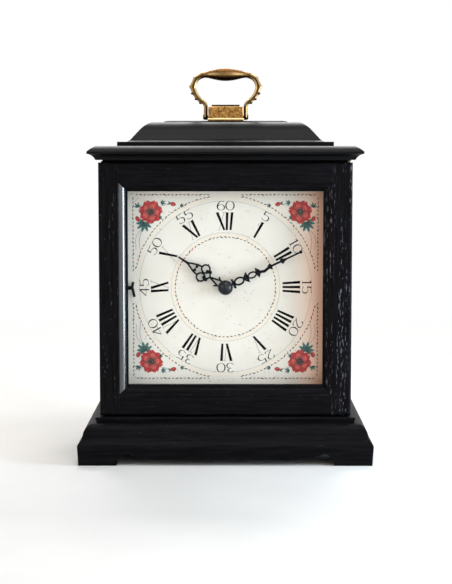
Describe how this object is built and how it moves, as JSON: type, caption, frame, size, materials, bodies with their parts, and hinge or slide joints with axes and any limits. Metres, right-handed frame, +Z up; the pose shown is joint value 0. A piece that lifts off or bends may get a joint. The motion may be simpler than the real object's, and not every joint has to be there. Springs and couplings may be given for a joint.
{
  "type": "table clock",
  "caption": "Bell-top table clock with a black wooden case, glazed hinged front door, painted square dial, pierced hands, swinging brass handle and a rear-wound striking movement.",
  "frame": {"origin": "middle of the footprint, on the surface that the clock stands on", "axes": "the dial looks along -Y, +X is the viewer's right, +Z is up"},
  "size_m": [0.2576, 0.171, 0.3472],
  "materials": {
    "ebonised_wood": "satin, open grain",
    "polished_ebonised_wood": "semi-gloss",
    "plain_wood": "unfinished",
    "antique_brass": "antiqued",
    "clear_glass": "clear",
    "painted_dial": "satin",
    "blackened_steel": "satin",
    "movement_brass": "lacquered",
    "bright_steel": "brushed",
    "grey_iron": "as cast"
  },
  "bodies": {
    "case": {"base_front_rail": "ebonised_wood", "base_left_rail": "ebonised_wood", "base_right_rail": "ebonised_wood", "base_back_rail": "ebonised_wood", "plinth_board": "ebonised_wood", "case_left_side": "ebonised_wood", "case_right_side": "ebonised_wood", "case_top_board": "ebonised_wood", "cornice": "polished_ebonised_wood", "bell_top": "polished_ebonised_wood", "bell_cap": "polished_ebonised_wood", "seat_board": "plain_wood", "seat_bolts": "bright_steel", "pivot_sockets": "antique_brass", "door_magnet": "bright_steel", "handle_block": "antique_brass", "handle_pivots": "antique_brass", "dial_plate": "painted_dial", "front_plate": "movement_brass", "back_plate": "movement_brass", "plate_pillars": "bright_steel", "clicks": "bright_steel", "balance_cock": "movement_brass", "gong_rods": "bright_steel", "gong_block": "grey_iron", "rear_hinge_case_leaves": "antique_brass"},
    "front_door": {"door_left_stile": "ebonised_wood", "door_right_stile": "ebonised_wood", "door_top_rail": "ebonised_wood", "door_bottom_rail": "ebonised_wood", "door_glass": "clear_glass", "glass_beads": "ebonised_wood", "door_pivot_pins": "antique_brass", "magnet_keeper": "bright_steel"},
    "rear_door": {"rear_door_panel": "ebonised_wood", "rear_hinge_door_leaves": "antique_brass", "rear_knob": "antique_brass"},
    "handle": {"handle_bail": "antique_brass"},
    "minute": {"centre_wheel": "movement_brass", "minute_hand": "blackened_steel", "hand_nut": "blackened_steel"},
    "hour": {"hour_wheel": "movement_brass", "hour_hand": "blackened_steel"},
    "minute_wheel": {"minute_wheel": "movement_brass"},
    "second_wheel": {"second_wheel": "movement_brass"},
    "time_barrel": {"time_barrel": "movement_brass", "time_mainspring": "bright_steel"},
    "third_wheel": {"third_wheel": "movement_brass"},
    "escape_wheel": {"escape_wheel": "movement_brass"},
    "pallet_lever": {"pallet_lever": "bright_steel"},
    "balance": {"balance_and_hairspring": "movement_brass"},
    "time_winder": {"time_winder": "bright_steel"},
    "strike_winder": {"strike_winder": "bright_steel"},
    "strike_wheel": {"strike_wheel": "movement_brass"},
    "strike_barrel": {"strike_barrel": "movement_brass", "strike_mainspring": "bright_steel"},
    "strike_fly": {"strike_fly": "movement_brass"},
    "first_hammer": {"first_hammer": "bright_steel"},
    "second_hammer": {"second_hammer": "bright_steel"},
    "silent_lever": {"silent_lever": "blackened_steel"}
  },
  "joints": [
    {"name": "front_door_hinge", "type": "hinge", "parent": "case", "child": "front_door", "pos_m": [0.10625, -0.053, 0.1524], "axis": [0, 0, 1], "range_deg": [0, 95]},
    {"name": "rear_door_hinge", "type": "hinge", "parent": "case", "child": "rear_door", "pos_m": [-0.09825, 0.0824, 0.1524], "axis": [0, 0, 1], "range_deg": [0, 115]},
    {"name": "handle_swing", "type": "hinge", "parent": "case", "child": "handle", "pos_m": [0, 0.00325, 0.3034], "axis": [1, 0, 0], "range_deg": [-88, 88]},
    {"name": "minute_spin", "type": "hinge", "parent": "case", "child": "minute", "pos_m": [0, -0.0118, 0.1524], "axis": [0, 1, 0], "continuous": true},
    {"name": "hour_spin", "type": "hinge", "parent": "case", "child": "hour", "pos_m": [0, -0.0418, 0.1524], "axis": [0, 1, 0], "continuous": true},
    {"name": "minute_wheel_spin", "type": "hinge", "parent": "case", "child": "minute_wheel", "pos_m": [-0.00983, -0.0378, 0.14552], "axis": [0, 1, 0], "continuous": true},
    {"name": "second_wheel_spin", "type": "hinge", "parent": "case", "child": "second_wheel", "pos_m": [0.02018, -0.0118, 0.1447], "axis": [0, 1, 0], "continuous": true},
    {"name": "time_barrel_spin", "type": "hinge", "parent": "case", "child": "time_barrel", "pos_m": [0.024, -0.0118, 0.1204], "axis": [0, 1, 0], "continuous": true},
    {"name": "third_wheel_spin", "type": "hinge", "parent": "case", "child": "third_wheel", "pos_m": [-0.013, -0.0118, 0.16965], "axis": [0, 1, 0], "continuous": true},
    {"name": "escape_wheel_spin", "type": "hinge", "parent": "case", "child": "escape_wheel", "pos_m": [0.00501, -0.0118, 0.17923], "axis": [0, 1, 0], "continuous": true},
    {"name": "pallet_lever_rock", "type": "hinge", "parent": "case", "child": "pallet_lever", "pos_m": [-0.00745, 0.0102, 0.18257], "axis": [0, 1, 0], "range_deg": [-2.5, 2.5]},
    {"name": "balance_swing", "type": "hinge", "parent": "case", "child": "balance", "pos_m": [-0.02194, 0.0152, 0.18645], "axis": [0, 1, 0], "range_deg": [-130, 130], "stiffness_Nm_per_rad": 0.00012},
    {"name": "time_winder_spin", "type": "hinge", "parent": "case", "child": "time_winder", "pos_m": [0.024, -0.0118, 0.1204], "axis": [0, 1, 0], "continuous": true},
    {"name": "strike_winder_spin", "type": "hinge", "parent": "case", "child": "strike_winder", "pos_m": [-0.024, -0.0118, 0.1204], "axis": [0, 1, 0], "continuous": true},
    {"name": "strike_wheel_spin", "type": "hinge", "parent": "case", "child": "strike_wheel", "pos_m": [-0.03583, -0.0118, 0.14265], "axis": [0, 1, 0], "continuous": true},
    {"name": "strike_barrel_spin", "type": "hinge", "parent": "case", "child": "strike_barrel", "pos_m": [-0.024, -0.0118, 0.1204], "axis": [0, 1, 0], "continuous": true},
    {"name": "strike_fly_spin", "type": "hinge", "parent": "case", "child": "strike_fly", "pos_m": [-0.03958, -0.0118, 0.16392], "axis": [0, 1, 0], "continuous": true},
    {"name": "first_hammer_lift", "type": "hinge", "parent": "case", "child": "first_hammer", "pos_m": [-0.03583, 0.0132, 0.1004], "axis": [0, 1, 0], "range_deg": [0, 9]},
    {"name": "second_hammer_lift", "type": "hinge", "parent": "case", "child": "second_hammer", "pos_m": [-0.03583, 0.0207, 0.1004], "axis": [0, 1, 0], "range_deg": [0, 9]},
    {"name": "silent_lever_tilt", "type": "hinge", "parent": "case", "child": "silent_lever", "pos_m": [-0.046, -0.0366, 0.1524], "axis": [0, 1, 0], "range_deg": [-4, 4]}
  ],
  "couplings": [
    {"joint": "minute_wheel_spin", "follows": "minute_spin", "ratio": -0.33333},
    {"joint": "hour_spin", "follows": "minute_spin", "ratio": 0.083333},
    {"joint": "second_wheel_spin", "follows": "minute_spin", "ratio": -0.2},
    {"joint": "time_barrel_spin", "follows": "minute_spin", "ratio": 0.027778},
    {"joint": "third_wheel_spin", "follows": "minute_spin", "ratio": -8},
    {"joint": "escape_wheel_spin", "follows": "minute_spin", "ratio": 60},
    {"joint": "strike_barrel_spin", "follows": "strike_wheel_spin", "ratio": -0.16667},
    {"joint": "strike_fly_spin", "follows": "strike_wheel_spin", "ratio": -8}
  ]
}
